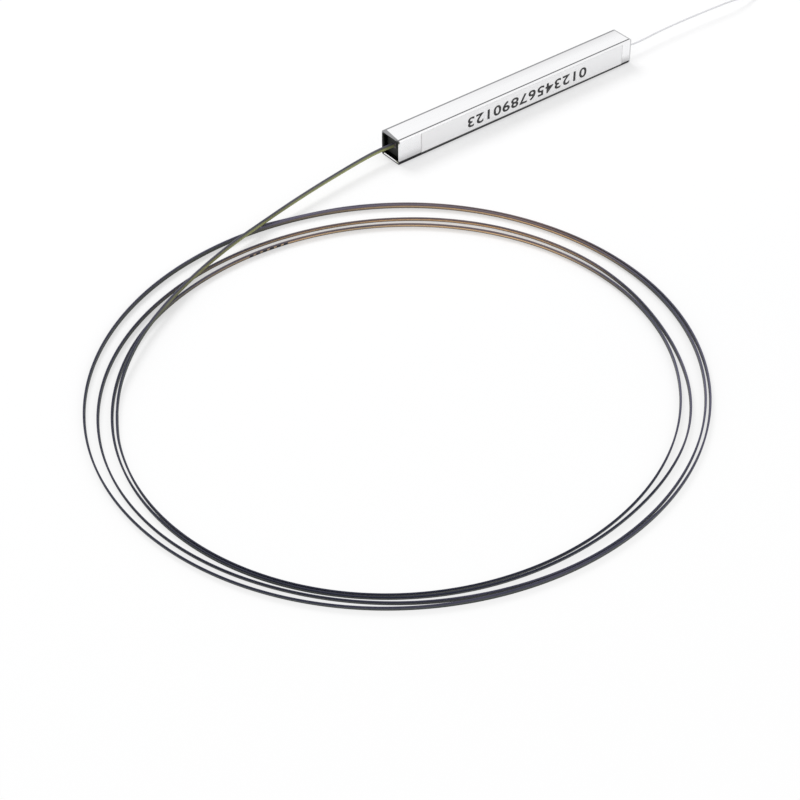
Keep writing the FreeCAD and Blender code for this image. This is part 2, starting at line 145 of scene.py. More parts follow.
# Its stored coil: centre, outer radius, how far each layer closes in, height of the first layer and
# rise from one to the next, in millimetres. Each layer climbs to the next in its last part.
COIL_CENTRE, COIL_RADIUS, COIL_CLOSES = (56.0, 12.975), 12.8, 0.9
COIL_HEIGHT, COIL_RISE, COIL_CLIMB = 0.145, 0.237, 0.1
# Layers, and route points to a turn.
COIL_LAYERS, COIL_STEPS = 4, 16

# Colours of the painted reflections, painted shades and painted shadows on the steel.
LOW_EDGE_SHADOW = (0.022, 0.022, 0.024)
FRONT_EDGE_REFLECTION, BACK_EDGE_REFLECTION = (0.12, 0.12, 0.125), (0.28, 0.28, 0.29)
BORE_SHADE, BEHIND_SHADE = (0.012, 0.013, 0.012), (0.020, 0.021, 0.020)
FOOT_SHADE = (0.05, 0.05, 0.052)
LIP_DEEP_SHADE, LIP_PALE_SHADE = (0.10, 0.10, 0.105), (0.42, 0.42, 0.43)
FAR_TOP_SHADE, FAR_SIDE_SHADE = (0.48, 0.48, 0.49), (0.60, 0.60, 0.61)
# Where each of them fades in or out, in metres. The first ones are depths in from the tube's sides
# and down from its top.
SIDE_FADE, TOP_FADE, BACK_FADE = (0.0003, 0.0002), (0.00022, 0.00012), (0.00050, 0.00038)
FRONT_STARTS, FRONT_ENDS = (0.00050, 0.00042), (0.00026, 0.00018)
# These are places along the tube, across it and above the floor.
BACK_SHADE_ALONG, UNDER_HEIGHT = (-0.024, 0.012), (0.0004, 0.0019)
LOW_SLOPE, LOW_HEIGHT = 0.0030, (0.00048, 0.00058)
BORE_SIDE, BORE_FLOOR, BORE_ROOF = (0.00167, 0.00169), (0.00031, 0.00033), (0.00367, 0.00369)
MOUTH_ALONG, BEHIND_ACROSS = (-0.02240, -0.02232), (0.00150, 0.00162)
FOOT_HEIGHT = (0.00014, 0.00024)
LIP_SLANT, LIP_ALONG, LIP_HEIGHT = 0.125, (0.02208, 0.02222), (0.00352, 0.00364)
FAR_ALONG, FAR_HEIGHT, FAR_ACROSS = (0.02222, 0.02234), (0.0036, 0.0038), (-0.00196, -0.00180)
# The painted shade on the film's cut ends fades in over these depths.
CUT_SHADE_FADE = (0.00016, 0.00008)
# The printed digits: ink thickness, how far it stands proud and where its row is centred, in
# metres, then the height of a digit in its font and the space between digits.
INK_THICKNESS, INK_PROUD, DIGITS_MIDDLE = 0.00001, 0.000002, 0.0018
CAP_SHARE, DIGIT_SPACING = 0.70, 1.12

# The camera looks at this point on the floor, along this level direction, at this pitch and
# distance. The floor's glow and the lamps are placed by the same directions.
VIEW_TARGET = Vector((-0.054975, -0.042914, 0.0))
VIEW_ALONG, VIEW_RIGHT = Vector((0.6232, 0.7821, 0.0)), Vector((0.7821, -0.6232, 0.0))
VIEW_PITCH, VIEW_DISTANCE = math.radians(40.0), 0.27808
# Lamps: right, away, up and size in metres, and share of the key lamp's power.
LAMPS = (
    ("key_lamp", -0.35, 0.55, 0.75, 0.55, 1.0),
    ("fill_lamp", 0.60, -0.45, 0.60, 0.80, 0.35),
)
# The floor's glow: its share in front, how much less it is behind, and the depths between which it
# falls. It is full again past these distances from the object. Depths and distances are in metres.
GLOW_MOST, GLOW_FALL, GLOW_DEPTHS, GLOW_FULL = 0.80, 0.31, (-0.082, -0.045), (0.13, 0.40)
# The surroundings' strength as light, and what the camera sees on top of it.
WORLD_LIGHT, WORLD_GLOW = 0.60, 0.40


class RibbonSettings(bpy.types.PropertyGroup):
    """Sizes and colours of the four-fibre ribbon."""

    width: FloatProperty(
        name="Width", description="Width of the ribbon, which stands on its edge",
        default=0.00085, unit="LENGTH")
    thickness: FloatProperty(
        name="Thickness", description="Thickness over the fibres", default=0.00025, unit="LENGTH")
    groove: FloatProperty(
        name="Groove", description="Depth of the grooves between the fibres",
        default=0.000016, unit="LENGTH")
    lean: FloatProperty(
        name="Lean", description="Lean of the turns at the open side and opposite",
        default=math.radians(31), subtype="ANGLE")
    blue: FloatVectorProperty(
        name="First fibre", description="Coating of the top fibre",
        default=(0.165, 0.132, 0.145), subtype="COLOR", size=3)
    orange: FloatVectorProperty(
        name="Second fibre", description="Coating of the second fibre",
        default=(0.86, 0.580, 0.320), subtype="COLOR", size=3)
    green: FloatVectorProperty(
        name="Third fibre", description="Coating of the third fibre",
        default=(0.74, 0.530, 0.330), subtype="COLOR", size=3)
    brown: FloatVectorProperty(
        name="Fourth fibre", description="Coating of the bottom fibre",
        default=(0.20, 0.145, 0.105), subtype="COLOR", size=3)


class FibreSettings(bpy.types.PropertyGroup):
    """Sizes and colour of the single fibre."""

    diameter: FloatProperty(
        name="Diameter", description="Diameter over the clear coating",
        default=0.00028, unit="LENGTH")
    turns: FloatProperty(
        name="Stored turns", description="Turns in the stored coil", default=12.4)
    colour: FloatVectorProperty(
        name="Colour", description="Clear coating over glass",
        default=(0.74, 0.74, 0.77), subtype="COLOR", size=3)


class TubeSettings(bpy.types.PropertyGroup):
    """Finish of the steel tube and what is printed on its film."""

    steel: FloatVectorProperty(
        name="Steel", description="Colour of the bright steel",
        default=(0.92, 0.92, 0.93), subtype="COLOR", size=3)
    film: FloatVectorProperty(
        name="Film", description="Colour of the blank film",
        default=(0.93, 0.93, 0.94), subtype="COLOR", size=3)
    digits: StringProperty(
        name="Digits", description="Plain digits printed on the film", default="01234567890123")
    digit_height: FloatProperty(
        name="Digit height", description="Height of the digits", default=0.0016, unit="LENGTH")
    digit_boldness: FloatProperty(
        name="Digit boldness", description="How far each stroke is thickened",
        default=0.00005, unit="LENGTH")
    digit_span: FloatProperty(
        name="Digit span", description="Length of the row of digits",
        default=0.0232, unit="LENGTH")


class StageSettings(bpy.types.PropertyGroup):
    """Floor, light and camera."""

    floor: FloatVectorProperty(
        name="Floor", description="Colour of the floor",
        default=(0.93, 0.93, 0.935), subtype="COLOR", size=3)
    lens: FloatProperty(
        name="Lens", description="Focal length in millimetres", default=100.0)
    key_power: FloatProperty(
        name="Key power", description="Power of the large soft lamp", default=5.2, unit="POWER")
    floor_sides: IntProperty(
        name="Floor sides", description="Sides of the floor disc", default=96)


def deselect():
    """Deselects every object."""
    for item in bpy.context.selected_objects:
        item.select_set(False)


def activate(piece):
    """Selects this piece alone and makes it the active one."""
    deselect()
    piece.select_set(True)
    bpy.context.view_layer.objects.active = piece


def blank(name):
    """A new material, its node tree and its Principled shader."""
    made = bpy.data.materials.new(name)
    made.use_nodes = True
    tree = made.node_tree
    return made, tree, tree.nodes["Principled BSDF"]


def add(tree, kind, **values):
    """A node with its settings, and its inputs by name."""
    node = tree.nodes.new(kind)
    for key, value in values.items():
        if hasattr(node, key):
            setattr(node, key, value)
        else:
            node.inputs[key.replace("_", " ")].default_value = value
    return node


def ramp(tree, source, stops):
    """The colour of a ramp on source, from (position, colour) stops."""
    node = tree.nodes.new("ShaderNodeValToRGB")
    elements = node.color_ramp.elements
    while len(elements) < len(stops):
        elements.new(1.0)
    for element, (position, colour) in zip(elements, stops):
        element.position = position
        element.color = (*colour, 1.0)
    tree.links.new(source, node.inputs["Fac"])
    return node.outputs["Color"]


def roughen(tree, shader, source, low, high):
    """Roughness that follows source, between two (position, roughness) stops."""
    stops = [(position, (roughness,) * 3) for position, roughness in (low, high)]
    tree.links.new(ramp(tree, source, stops), shader.inputs["Roughness"])


def math_node(tree, operation, first, second=None):
    """The value of a Math node; each argument is a socket or a number."""
    node = tree.nodes.new("ShaderNodeMath")
    node.operation = operation
    for socket, value in zip(node.inputs, (first, second)):
        if isinstance(value, bpy.types.NodeSocket):
            tree.links.new(value, socket)
        elif value is not None:
            socket.default_value = value
    return node.outputs[0]


def times(tree, first, *others):
    """The product of all of them."""
    for other in others:
        first = math_node(tree, "MULTIPLY", first, other)
    return first


def mix(tree, factor, first, second, blend="MIX"):
    """A colour mix; each argument is a socket or a plain value."""
    node = tree.nodes.new("ShaderNodeMix")
    node.data_type = "RGBA"
    node.blend_type = blend
    for name, value in (("Factor_Float", factor), ("A_Color", first), ("B_Color", second)):
        socket = next(item for item in node.inputs if item.identifier == name)
        if isinstance(value, bpy.types.NodeSocket):
            tree.links.new(value, socket)
        else:
            socket.default_value = value if name == "Factor_Float" else (*value, 1.0)
    return next(item for item in node.outputs if item.identifier == "Result_Color")


def place(tree, scale=(1, 1, 1)):
    """Object coordinates, stretched by scale."""
    coordinates = tree.nodes.new("ShaderNodeTexCoord")
    mapping = tree.nodes.new("ShaderNodeMapping")
    mapping.inputs["Scale"].default_value = scale
    tree.links.new(coordinates.outputs["Object"], mapping.inputs["Vector"])
    return mapping.outputs["Vector"]


def axes(tree, vector):
    """The X, Y and Z of a vector."""
    parts = tree.nodes.new("ShaderNodeSeparateXYZ")
    tree.links.new(vector, parts.inputs["Vector"])
    return tuple(parts.outputs)


def noise(tree, vector, detail=3.0, roughness=0.55):
    """Noise on a vector, about 0.5."""
    node = add(tree, "ShaderNodeTexNoise", Scale=1.0, Detail=detail, Roughness=roughness)
    tree.links.new(vector, node.inputs["Vector"])
    return node.outputs["Fac"]


def bump(tree, shader, height, distance, strength):
    """Fine relief on the shader, distance deep in metres."""
    node = add(tree, "ShaderNodeBump", Distance=distance, Strength=strength)
    tree.links.new(height, node.inputs["Height"])
    tree.links.new(node.outputs["Normal"], shader.inputs["Normal"])


def tint(colour, amount):
    """A colour made darker, or lighter up to white."""
    return tuple(min(1.0, channel * amount) for channel in colour)


def paint(piece, material):
    """Gives a piece this material and no other."""
    piece.data.materials.clear()
    piece.data.materials.append(material)


def rise(tree, value, low, high):
    """0 below low, 1 above high, and smooth between."""
    node = tree.nodes.new("ShaderNodeMapRange")
    node.interpolation_type = "SMOOTHSTEP"
    node.inputs["From Min"].default_value = low
    node.inputs["From Max"].default_value = high
    tree.links.new(value, node.inputs["Value"])
    return node.outputs["Result"]


def drop(tree, value, low, high):
    """1 below low, 0 above high, and smooth between."""
    return rise(tree, times(tree, value, -1.0), -high, -low)


def inside(tree, value, limit, depths):
    """0 at the first depth in from a limit, 1 at the second, and smooth between."""
    return rise(tree, value, limit - depths[0], limit - depths[1])


def low_edge(tree, x, z):
    """1 along the tube's bottom edge, where a contact shadow is painted, a little higher towards
    the ribbon's end.
    """
    return drop(tree, math_node(tree, "ADD", z, times(tree, x, LOW_SLOPE)), *LOW_HEIGHT)


def steel_edges(tree, tone, colour):
    """Painted shade over the tube's back and under its sides, dark painted reflections along its
    top edges and a painted contact shadow along its bottom edges.
    """
    x, y, z = axes(tree, place(tree))
    half = TUBE_HIGH.y
    # Painted shade: darker towards the tube's back and towards its fibre end.
    haze_and_shade = times(tree, rise(tree, y, -0.2 * half, 1.1 * half), rise(tree, x, *BACK_SHADE_ALONG), 0.8)
    tone = mix(tree, haze_and_shade, tone, tint(colour, 0.78))
    side = inside(tree, math_node(tree, "ABSOLUTE", y), half, SIDE_FADE)
    # Painted shade low on the tube's sides.
    under = times(tree, drop(tree, z, *UNDER_HEIGHT), side, 0.6)
    tone = mix(tree, under, tone, tint(colour, 0.45))
    # Dark painted reflections along the front and back top edges.
    top = inside(tree, z, TUBE_HIGH.z, TOP_FADE)
    forward = times(tree, y, -1.0)
    strip = math_node(tree, "SUBTRACT", inside(tree, forward, half, FRONT_STARTS),
                      inside(tree, forward, half, FRONT_ENDS))
    tone = mix(tree, times(tree, top, strip), tone, FRONT_EDGE_REFLECTION)
    tone = mix(tree, times(tree, top, inside(tree, y, half, BACK_FADE)), tone, BACK_EDGE_REFLECTION)
    # Painted contact shadow along the bottom edges.
    return mix(tree, times(tree, low_edge(tree, x, z), side), tone, LOW_EDGE_SHADOW)


def steel_ends(tree, tone, cloud):
    """The cut ends: at the ribbon's mouth painted shade in the bore, on the lip and behind it, and
    a painted shadow along its foot, and at the far end painted shade softening two edges."""
    x, y, z = axes(tree, place(tree))
    # Painted shade in the bore at the ribbon's mouth.
    bore = times(tree, drop(tree, math_node(tree, "ABSOLUTE", y), *BORE_SIDE),
                 rise(tree, z, *BORE_FLOOR), drop(tree, z, *BORE_ROOF))
    tone = mix(tree, bore, tone, BORE_SHADE)
    mouth = drop(tree, x, *MOUTH_ALONG)
    # Painted shade on the mouth's rim towards the back.
    tone = mix(tree, times(tree, mouth, rise(tree, y, *BEHIND_ACROSS)), tone, BEHIND_SHADE)
    # Painted shade on the lip, mottled between two greys.
    slant = math_node(tree, "SUBTRACT", times(tree, y, LIP_SLANT), x)
    lip = times(tree, rise(tree, slant, *LIP_ALONG), rise(tree, z, *LIP_HEIGHT))
    tone = mix(tree, lip, tone, mix(tree, cloud, LIP_DEEP_SHADE, LIP_PALE_SHADE))
    # Painted shadow along the foot of the mouth.
    tone = mix(tree, times(tree, mouth, drop(tree, z, *FOOT_HEIGHT)), tone, FOOT_SHADE)
    # Painted shade softening the far end's top and front edges.
    far = rise(tree, x, *FAR_ALONG)
    tone = mix(tree, times(tree, far, rise(tree, z, *FAR_HEIGHT)), tone, FAR_TOP_SHADE)
    return mix(tree, times(tree, far, drop(tree, y, *FAR_ACROSS)), tone, FAR_SIDE_SHADE)


def steel_material(colour):
    """Bright drawn steel: fine lines along the tube, painted shade over its back, and dark painted
    reflections along its rounded edges."""
    made, tree, shader = blank("bright_drawn_steel")
    lines = noise(tree, place(tree, (60, 5200, 5200)), 4.0, 0.6)
    cloud = noise(tree, place(tree, (120, 300, 300)), 2.0)
    tone = mix(tree, lines, tint(colour, 0.96), tint(colour, 1.03))
    tone = mix(tree, cloud, tone, tint(colour, 0.98))
    tone = steel_edges(tree, tone, colour)
    tone = steel_ends(tree, tone, cloud)
    tree.links.new(tone, shader.inputs["Base Color"])
    shader.inputs["Metallic"].default_value = 0.85
    roughen(tree, shader, lines, (0.3, 0.14), (0.7, 0.22))
    bump(tree, shader, lines, 0.000002, 0.2)
    return made


def film_material(colour):
    """Satin marking film with a fine coating grain, painted shade on its cut ends and a painted
    contact shadow along its bottom edge.
    """
    made, tree, shader = blank("satin_marking_film")
    grain = noise(tree, place(tree, (9000, 9000, 9000)))
    cloud = noise(tree, place(tree, (140, 140, 140)), 2.0)
    tone = mix(tree, grain, tint(colour, 0.97), tint(colour, 1.03))
    tone = mix(tree, cloud, tone, tint(colour, 0.98))
    x, y, z = axes(tree, place(tree))
    middle = (FILM_LOW.x + FILM_HIGH.x) / 2
    half = (FILM_HIGH.x - FILM_LOW.x) / 2
    reach = math_node(tree, "ABSOLUTE", math_node(tree, "SUBTRACT", x, middle))
    # Painted shade on the film's cut ends.
    cut = times(tree, inside(tree, reach, half, CUT_SHADE_FADE), 0.8)
    tone = mix(tree, cut, tone, tint(colour, 0.66))
    # Painted contact shadow along the film's bottom edge.
    tone = mix(tree, low_edge(tree, x, z), tone, LOW_EDGE_SHADOW)
    tree.links.new(tone, shader.inputs["Base Color"])
    roughen(tree, shader, grain, (0.2, 0.38), (0.8, 0.52))
    bump(tree, shader, grain, 0.000003, 0.3)
    return made


def ink_material():
    """Black thermal-transfer ink, slightly uneven."""
    made, tree, shader = blank("black_print")
    grain = noise(tree, place(tree, (14000, 14000, 14000)))
    tone = ramp(tree, grain, ((0.3, (0.006, 0.006, 0.007)), (0.75, (0.022, 0.022, 0.024))))
    tree.links.new(tone, shader.inputs["Base Color"])
    roughen(tree, shader, grain, (0.3, 0.42), (0.8, 0.6))
    return made


def sealant_material():
    """Black cured sealant, with the shallow dimples of its surface."""
    made, tree, shader = blank("black_sealant")
    lumps = noise(tree, place(tree, (1300, 1300, 1300)), 4.0)
    tone = ramp(tree, lumps, ((0.25, (0.007, 0.008, 0.007)), (0.75, (0.020, 0.022, 0.019))))
    tree.links.new(tone, shader.inputs["Base Color"])
    roughen(tree, shader, lumps, (0.2, 0.6), (0.8, 0.8))
    bump(tree, shader, lumps, 0.00002, 0.3)
    return made


def glass_material(name, colour, roughness):
    """Ground and polished glass, with a slight haze."""
    made, tree, shader = blank(name)
    haze_and_shade = noise(tree, place(tree, (2600, 2600, 2600)))
    tone = mix(tree, haze_and_shade, tint(colour, 0.94), tint(colour, 1.04))
    tree.links.new(tone, shader.inputs["Base Color"])
    roughen(tree, shader, haze_and_shade, (0.2, roughness), (0.8, roughness * 2.0))
    shader.inputs["IOR"].default_value = 1.47
    shader.inputs["Transmission Weight"].default_value = 0.6
    return made


def coated_material(name, colour, roughness=0.25):
    """Smooth coloured coating with small changes in its depth."""
    made, tree, shader = blank(name)
    depth = noise(tree, place(tree, (900, 5000, 5000)))
    tone = mix(tree, depth, tint(colour, 0.9), tint(colour, 1.1))
    tree.links.new(tone, shader.inputs["Base Color"])
    roughen(tree, shader, depth, (0.2, roughness * 0.8), (0.8, roughness * 1.25))
    shader.inputs["Coat Weight"].default_value = 0.4
    shader.inputs["Coat Roughness"].default_value = 0.1
    return made


def bands(tree, across, brown, green, orange, blue, gap):
    """The four coatings across the ribbon, from its bottom edge up, with gaps between them."""
    return ramp(tree, across, (
        (0.00, brown), (0.235, brown), (0.265, gap), (0.295, green), (0.475, green), (0.50, gap),
        (0.525, orange), (0.745, orange), (0.77, gap), (0.795, blue), (1.0, blue)))


def printed_bars(tree, along, across):
    """1 on the short printed bars, which leave the ribbon's top edge clear."""
    started = math_node(tree, "GREATER_THAN", along, MARKS_START)
    ended = math_node(tree, "LESS_THAN", along, MARKS_END)
    beat = math_node(tree, "FRACT", math_node(tree, "DIVIDE", along, MARKS_PITCH))
    bar = math_node(tree, "LESS_THAN", beat, MARK_LENGTH)
    return times(tree, started, ended, bar, math_node(tree, "LESS_THAN", across, MARK_WIDTH))


def ribbon_material(look):
    """Four coloured fibres under a clear skin. UV runs along the ribbon and across its width, and
    the tone attribute carries painted light: how much painted light and shade, how much of their
    painted lit colours, and how much painted light on the lead the coatings show there."""
    made, tree, shader = blank("four_fibre_ribbon")
    uv = add(tree, "ShaderNodeUVMap", uv_map="ribbon")
    along, across, _ = axes(tree, uv.outputs["UV"])
    tone = add(tree, "ShaderNodeAttribute", attribute_name="tone")
    tones = tree.nodes.new("ShaderNodeSeparateColor")
    tree.links.new(tone.outputs["Color"], tones.inputs["Color"])
    light, lit_colour, lead_light = (tones.outputs[name] for name in ("Red", "Green", "Blue"))
    coloured = bands(tree, across, look.brown, look.green, look.orange, look.blue, WARM_GAP)
    # Painted lit colours of the coatings, and a dull grey copy where they are not lit.
    shown = mix(tree, lit_colour, bands(tree, across, *DULL_LIT_TONE), coloured)
    # Painted shade: the coatings darken to their shaded copy where there is little painted light.
    shown = mix(tree, light, bands(tree, across, *SHADED_TONE), shown)
    # Painted light on the lead by the sealant.
    shown = mix(tree, lead_light, shown, bands(tree, across, *LEAD_LIT_TONE))
    stretched = tree.nodes.new("ShaderNodeCombineXYZ")
    tree.links.new(times(tree, along, 90.0), stretched.inputs["X"])
    tree.links.new(times(tree, across, 3.0), stretched.inputs["Y"])
    drift = noise(tree, stretched.outputs["Vector"])
    shade = ramp(tree, drift, ((0.3, (0.66, 0.70, 0.74)), (0.7, (1.30, 1.24, 1.16))))
    shown = mix(tree, 1.0, shown, shade, "MULTIPLY")
    shown = mix(tree, printed_bars(tree, along, across), shown, MARK_INK)
    tree.links.new(shown, shader.inputs["Base Color"])
    roughen(tree, shader, drift, (0.3, 0.34), (0.7, 0.48))
    shader.inputs["IOR"].default_value = 1.45
    shader.inputs["Specular IOR Level"].default_value = 0.15
    bump(tree, shader, noise(tree, place(tree, (3000, 3000, 3000)), 2.0), 0.000004, 0.3)
    return made


def smoothstep(value):
    """0 below 0, 1 above 1, and smooth between."""
    value = min(1.0, max(0.0, value))
    return value * value * (3 - 2 * value)


def bell(value, centre, reach):
    """1 at the centre, falling smoothly to 0 at reach on each side."""
    return smoothstep(1 - abs(value - centre) / reach)


def from_bearing(angle, bearing):
    """How far an angle lies from a bearing, from -180 to 180 degrees."""
    return (angle - bearing + 180) % 360 - 180


def round_tone(angle, row):
    """How much there is at an angle of a tone that each turn repeats, given as a row of its
    bearing, its reach and its most."""
    bearing, reach, most = row
    return most * bell(from_bearing(angle, bearing), 0, reach)


def at_places(angle, rows):
    """What rows of running angle, reach and most add up to at a running angle."""
    return sum(most * bell(angle, centre, reach) for centre, reach, most in rows)


def comes(angle, row):
    """0 before a tone comes and 1 after, from where it starts and over how many degrees."""
    start, run = row
    return smoothstep((angle - start) / run)


def turn_radius(angle):
    """Radius of the turns at a running angle in degrees, blended between the winding's stages."""
    passed = (angle - STAGES_FROM) / STAGES_RUN * (len(TURN_STAGES) - 1)
    stage = min(int(passed), len(TURN_STAGES) - 2)
    blend = smoothstep(passed - stage)
    mean, east, north, oval, skew = (
        a + (b - a) * blend for a, b in zip(TURN_STAGES[stage], TURN_STAGES[stage + 1]))
    turn = math.radians(angle)
    radius = mean + at_places(angle, TURN_NUDGES) + east * math.cos(turn) + north * math.sin(turn)
    radius += oval * math.cos(2 * turn) + skew * math.sin(2 * turn)
    if angle > BESIDE_FROM:
        beside = turn_radius(angle - 360) + BESIDE_GAP
        radius += (beside - radius) * smoothstep((angle - BESIDE_FROM) / BESIDE_RUN)
    return radius


def nurbs_route(name, points):
    """A curve of one open NURBS spline with these control points, in metres."""
    curve = bpy.data.curves.new(name, "CURVE")
    curve.dimensions = "3D"
    curve.resolution_u = 12
    spline = curve.splines.new("NURBS")
    spline.points.add(len(points) - 1)
    for point, position in zip(spline.points, points):
        point.co = (*position, 1.0)
    spline.order_u = 3
    spline.use_endpoint_u = True
    piece = bpy.data.objects.new(name, curve)
    bpy.context.scene.collection.objects.link(piece)
    return piece


def points_along(route):
    """The points of a curve with no bevel, in order."""
    bpy.context.view_layer.update()
    graph = bpy.context.evaluated_depsgraph_get()
    line = bpy.data.meshes.new_from_object(route.evaluated_get(graph))
    points = [vertex.co.copy() for vertex in line.vertices]
    bpy.data.meshes.remove(line)
    return points


def ribbon_section(width, thickness, groove):
    """The ribbon's outline once round, as (across, out) from its middle: four fibres in one skin.
    The outer fibres round off towards two narrow edges."""
    half, pitch = width / 2, width / 4.25
    edge, rounding = 0.14 * thickness, 0.28 * thickness
    side = []
    # Nineteen corners along each flat side, from the bottom edge to the top edge.
    for i in range(-9, 10):
        height = i / 9 * 2 * pitch
        between = 0.5 + 0.5 * math.cos(2 * math.pi * height / pitch)
        grooved = groove * between * (abs(height) < 1.7 * pitch)
        rounded = rounding * smoothstep((abs(height) - 1.72 * pitch) / (0.5 * pitch))
        side.append((height, thickness / 2 - grooved - rounded))
    other_side = [(height, -out) for height, out in reversed(side)]
    return side + [(half, edge), (half, -edge)] + other_side + [(-half, -edge), (-half, edge)]


def ribbon_lean(angle):
    """Share of the full lean at a running angle in degrees. The ribbon leans towards the open side
    where it passes it and opposite, and twists upright between and in a few other places."""
    share = math.cos(math.radians(angle - LEAN_BEARING))
    if angle < LEAD_ENDS:
        share *= LEAD_LEAN
    return share * (1 - at_places(angle, UPRIGHT_AT))


def ribbon_painted_light(angle):
    """Painted light at a running angle, each from 0 to 1: how much painted light and shade, how
    much of the painted lit colours, and how much painted light on the lead the coatings show.
    """
    # Painted light and shade by bearing round the turns and at two twists.
    light = LEAST_PAINTED_LIGHT + round_tone(angle, PAINTED_LIGHT_SIDE) + round_tone(angle, PAINTED_LIGHT_FRONT)
    light = min(1.0, light + at_places(angle, PAINTED_LIGHT_TWISTS)) * (1 - round_tone(angle, PAINTED_SHADE_SIDE))
    # Painted lit colours, mostly on the far side of the turns and less at one twist.
    lit_colour = min(1.0, round_tone(angle, PAINTED_COLOUR_SIDE)) * (1 - at_places(angle, PAINTED_DULL_TWISTS))
    lit_colour *= comes(from_bearing(angle, 0), PAINTED_COLOUR_COMES) * (1 - comes(angle, PAINTED_COLOUR_GOES))
    # The last value is painted light on the lead, which fades after it leaves the sealant.
    return light, lit_colour, 1 - comes(angle, LEAD_LIGHT_GOES)


def ribbon_rings(points, outline, look):
    """The outline's corners at each point of the route, with the coatings' painted light at each
    corner.
    """
    vertices, tones = [], []
    angle = LEAD_ANGLE
    for i, point in enumerate(points):
        ahead = (points[min(i + 1, len(points) - 1)] - points[max(i - 1, 0)]).normalized()
        inward = Vector((0, 0, 1)).cross(ahead).normalized()
        upward = ahead.cross(inward)
        bearing = math.degrees(
            math.atan2(point.y - TURN_CENTRE[1] * MM, point.x - TURN_CENTRE[0] * MM))
        angle += from_bearing(bearing, angle)
        lean = look.lean * ribbon_lean(angle)
        up = upward * math.cos(lean) - inward * math.sin(lean)
        out = inward * math.cos(lean) + upward * math.sin(lean)
        # A leaning ribbon stands lower, so it settles on to the floor.
        reach = abs(math.cos(lean)) * look.width / 2 + abs(math.sin(lean)) * look.thickness / 2
        settled = point + Vector((0, 0, reach - look.width / 2))
        vertices.extend(settled + up * across + out * away for across, away in outline)
        tones.extend([(*ribbon_painted_light(angle), 1.0)] * len(outline))
    return vertices, tones


def ribbon_mesh(name, points, look):
    """The ribbon's skin along points, standing on its edge, with its UV map and its tone attribute
    of painted light.
    """
    outline = ribbon_section(look.width, look.thickness, look.groove)
    count = len(outline)
    vertices, tones = ribbon_rings(points, outline, look)
    last = (len(points) - 1) * count
    faces = []
    for ring in range(0, last, count):
        for side in range(count):
            a, b = ring + side, ring + (side + 1) % count
            faces.append((a, b, b + count, a + count))
    faces.append(tuple(reversed(range(count))))
    faces.append(tuple(range(last, last + count)))
    mesh = bpy.data.meshes.new(name)
    mesh.from_pydata(vertices, [], faces)
    lengths = [0.0]
    for before, after in zip(points, points[1:]):
        lengths.append(lengths[-1] + (after - before).length)
    layer = mesh.uv_layers.new(name="ribbon")
    for loop in mesh.loops:
        ring, corner = divmod(loop.vertex_index, count)
        layer.data[loop.index].uv = (lengths[ring], outline[corner][0] / look.width + 0.5)
    tone = mesh.attributes.new("tone", "FLOAT_COLOR", "POINT")
    tone.data.foreach_set("color", [value for colour in tones for value in colour])
    mesh.update()
    return mesh


def ring_point(centre, radius, angle, height):
    """A point at an angle in radians on a level ring given in millimetres."""
    return Vector((centre[0] + radius * math.cos(angle),
                   centre[1] + radius * math.sin(angle), height)) * MM


def ribbon_route():
    """Control points of the whole ribbon, from the sealant to its free end, in metres. They lie a
    little outside the turns, so that the curve between them keeps the turns' radius."""
    points = [Vector((RIBBON_EXIT, EXIT_ASIDE * MM, TUBE_AXIS))]
    points += [Vector(point) * MM for point in RIBBON_LEAD]
    spread = 1 / math.cos(math.radians(TURN_STEP / 2))
    steps = round((END_ANGLE - JOIN_ANGLE) / TURN_STEP)
    for i in range(steps + 1):
        angle = JOIN_ANGLE + (END_ANGLE - JOIN_ANGLE) * i / steps
        radius = turn_radius(angle) * spread
        points.append(ring_point(TURN_CENTRE, radius, math.radians(angle), TURN_HEIGHT))
    return points


def fibre_route(turns):
    """Control points of the single fibre, from the sealant to the end of its stored coil."""
    points = [Vector((FIBRE_EXIT, 0.0, TUBE_AXIS))]
    points += [Vector(point) * MM for point in FIBRE_LEAD]
    spread = 1 / math.cos(math.pi / COIL_STEPS)
    last = round(turns * COIL_STEPS)
    for i in range(last + 1):
        turn = i / COIL_STEPS
        layer, part = divmod(turn / turns * COIL_LAYERS, 1)
        if i == last:
            layer, part = COIL_LAYERS - 1, 1.0
        inward = part if layer % 2 == 0 else 1 - part
        radius = (COIL_RADIUS - COIL_CLOSES * inward) * spread
        climbed = min(COIL_LAYERS - 1, layer + smoothstep((part - 1) / COIL_CLIMB + 1))
        angle = 2 * math.pi * turn - math.pi / 2
        points.append(ring_point(COIL_CENTRE, radius, angle, COIL_HEIGHT + COIL_RISE * climbed))
    return points


class SPLITTER_OT_ribbon(bpy.types.Operator):
    """Lays the ribbon from the tube down on to the floor and round its loose turns"""

    bl_idname = "splitter.ribbon"
    bl_label = "Ribbon"

    def execute(self, context):
        look = context.scene.splitter_ribbon
        route = nurbs_route("ribbon_route", ribbon_route())
        points = points_along(route)
        curve = route.data
        bpy.data.objects.remove(route)
        bpy.data.curves.remove(curve)
        piece = bpy.data.objects.new("ribbon_cord", ribbon_mesh("ribbon_cord", points, look))
        context.scene.collection.objects.link(piece)
        activate(piece)
        bpy.ops.object.shade_smooth_by_angle(angle=math.radians(50))
        paint(piece, ribbon_material(look))
        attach(piece, "root")
        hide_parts("ribbon_lead", "ribbon_coil")
        return {"FINISHED"}


